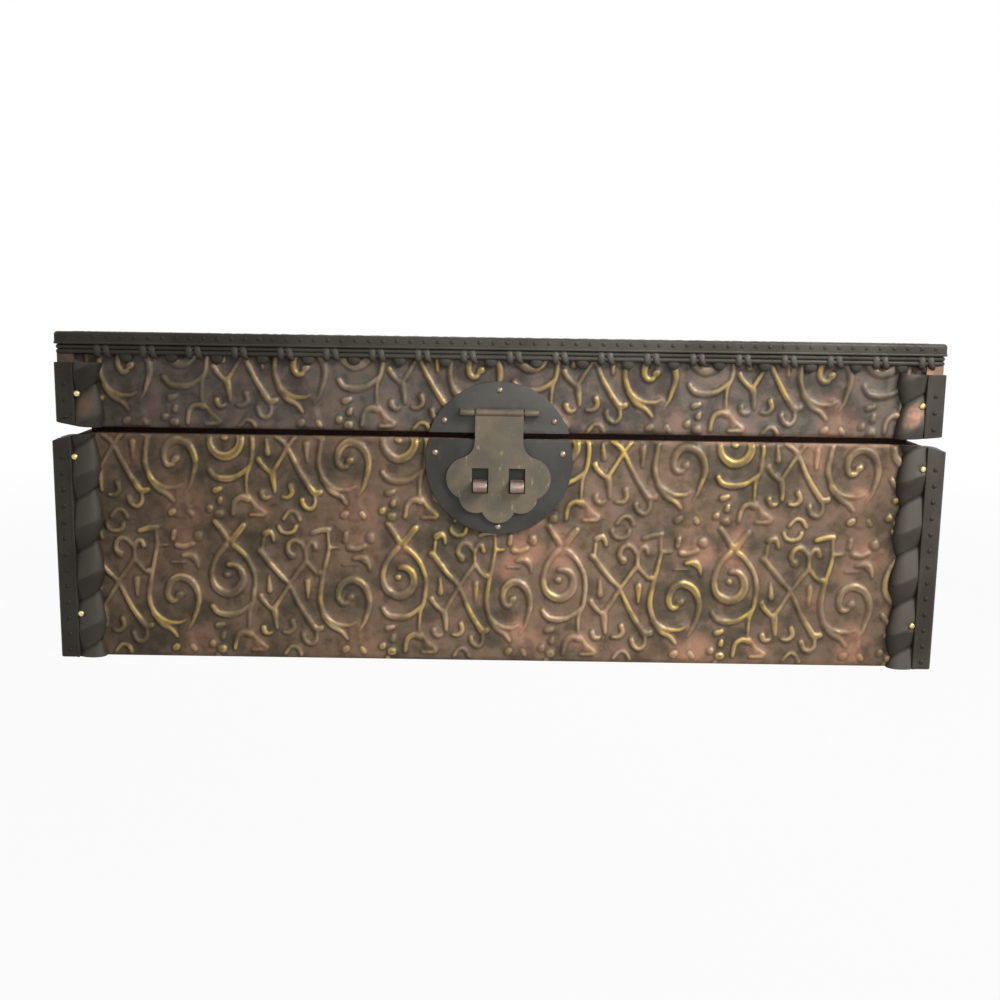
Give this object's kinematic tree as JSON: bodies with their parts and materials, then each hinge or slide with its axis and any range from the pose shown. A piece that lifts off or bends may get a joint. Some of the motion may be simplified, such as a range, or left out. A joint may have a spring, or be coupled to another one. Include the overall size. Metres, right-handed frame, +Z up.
{
  "type": "keepsake chest",
  "caption": "Flat-lidded keepsake chest of board covered in embossed scrollwork skins, with rope corner trims, a round lock plate with a scalloped hasp, and a lid on stop hinges.",
  "frame": {"origin": "middle of the underside, on the surface that the chest stands on", "axes": "+X to the right seen from the front, +Y from the front with the lock to the back with the hinges, +Z up"},
  "size_m": [0.4038, 0.2927, 0.148],
  "materials": {
    "board": "stained fibreboard",
    "embossed_skin": "embossed and rubbed with gold and copper",
    "moulded_trim": "moulded and stained dark",
    "lining": "flocked card",
    "lock_plate": "antiqued",
    "hasp_plate": "antiqued",
    "lock_staple": "bronzed",
    "plate_nail": "dull",
    "brass_tack": "polished",
    "hinge_steel": "bronzed"
  },
  "bodies": {
    "base": {"base_front_board": "board", "base_back_board": "board", "base_left_board": "board", "base_right_board": "board", "base_floor_board": "board", "base_front_skin": "embossed_skin", "base_back_skin": "embossed_skin", "base_left_skin": "embossed_skin", "base_right_skin": "embossed_skin", "base_corner_trim_front_left": "moulded_trim", "base_corner_trim_front_right": "moulded_trim", "base_corner_trim_back_right": "moulded_trim", "base_corner_trim_back_left": "moulded_trim", "base_trim_tacks": "brass_tack", "base_floor_card": "lining", "base_front_card": "lining", "base_back_card": "lining", "base_left_card": "lining", "base_right_card": "lining", "lock_lower_plate": "lock_plate", "lock_left_staple": "lock_staple", "lock_right_staple": "lock_staple", "lock_lower_plate_nails": "plate_nail", "left_hinge_base_leaf": "hinge_steel", "right_hinge_base_leaf": "hinge_steel", "hinge_base_screws": "hinge_steel", "left_hinge_pin": "hinge_steel", "right_hinge_pin": "hinge_steel"},
    "lid": {"lid_front_board": "board", "lid_back_board": "board", "lid_left_board": "board", "lid_right_board": "board", "lid_top_board": "board", "lid_front_skin": "embossed_skin", "lid_back_skin": "embossed_skin", "lid_left_skin": "embossed_skin", "lid_right_skin": "embossed_skin", "lid_top_skin": "embossed_skin", "lid_corner_trim_front_left": "moulded_trim", "lid_corner_trim_front_right": "moulded_trim", "lid_corner_trim_back_right": "moulded_trim", "lid_corner_trim_back_left": "moulded_trim", "lid_top_trim_front": "moulded_trim", "lid_top_trim_back": "moulded_trim", "lid_top_trim_left": "moulded_trim", "lid_top_trim_right": "moulded_trim", "lid_trim_tacks": "brass_tack", "lid_top_card": "lining", "lid_front_card": "lining", "lid_back_card": "lining", "lid_left_card": "lining", "lid_right_card": "lining", "lock_upper_plate": "lock_plate", "lock_upper_plate_nails": "plate_nail", "left_hinge_lid_leaf": "hinge_steel", "right_hinge_lid_leaf": "hinge_steel", "hinge_lid_screws": "hinge_steel"},
    "hasp": {"hasp": "hasp_plate", "hasp_pin": "hasp_plate"}
  },
  "joints": [
    {"name": "lid_hinge", "type": "hinge", "parent": "base", "child": "lid", "pos_m": [0, 0.1425, 0.1043], "axis": [-1, 0, 0], "range_deg": [0, 100]},
    {"name": "hasp_hinge", "type": "hinge", "parent": "lid", "child": "hasp", "pos_m": [0, -0.13905, 0.1148], "axis": [-1, 0, 0], "range_deg": [0, 150]}
  ]
}
